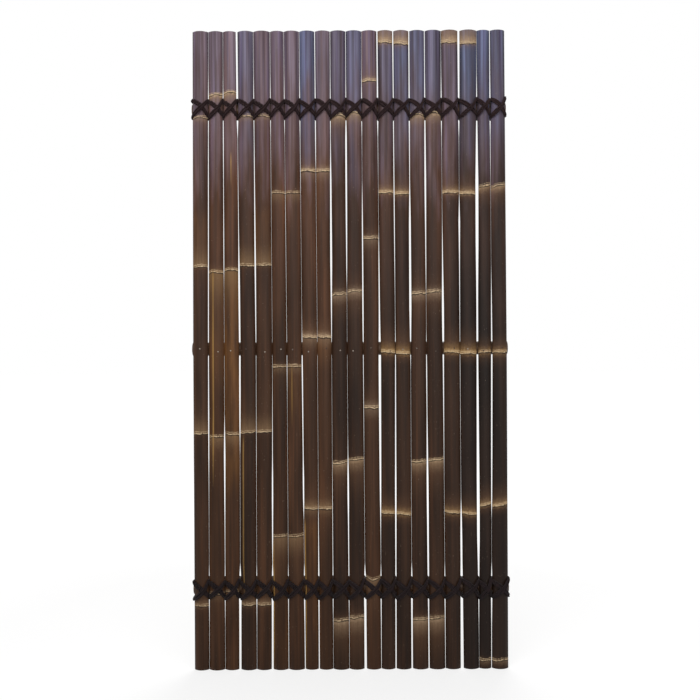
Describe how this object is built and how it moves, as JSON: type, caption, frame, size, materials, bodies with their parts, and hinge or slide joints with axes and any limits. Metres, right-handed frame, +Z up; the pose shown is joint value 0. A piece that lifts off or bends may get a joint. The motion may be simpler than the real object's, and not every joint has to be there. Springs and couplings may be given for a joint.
{
  "type": "bamboo fence panel",
  "caption": "Upright garden fence panel of split bamboo slats over round bamboo cross rails, lashed with rope in crosses over the slats at the upper and lower rails.",
  "frame": {"origin": "bottom centre of the panel: level with the slats' feet, halfway along the panel and halfway through its depth", "axes": "+X to the right as seen from the front, +Y from the slats' skins at the front to the rails at the back, +Z up along the slats"},
  "size_m": [0.895, 0.0768, 1.8],
  "materials": {
    "slat_bamboo": "satin",
    "rail_bamboo": "satin",
    "rope": "matte"
  },
  "bodies": {
    "root": {"slat_01": "slat_bamboo", "slat_02": "slat_bamboo", "slat_03": "slat_bamboo", "slat_04": "slat_bamboo", "slat_05": "slat_bamboo", "slat_06": "slat_bamboo", "slat_07": "slat_bamboo", "slat_08": "slat_bamboo", "slat_09": "slat_bamboo", "slat_10": "slat_bamboo", "slat_11": "slat_bamboo", "slat_12": "slat_bamboo", "slat_13": "slat_bamboo", "slat_14": "slat_bamboo", "slat_15": "slat_bamboo", "slat_16": "slat_bamboo", "slat_17": "slat_bamboo", "slat_18": "slat_bamboo", "slat_19": "slat_bamboo", "slat_20": "slat_bamboo", "bottom_rail": "rail_bamboo", "middle_rail": "rail_bamboo", "top_rail": "rail_bamboo", "bottom_lashing": "rope", "top_lashing": "rope"}
  },
  "joints": []
}
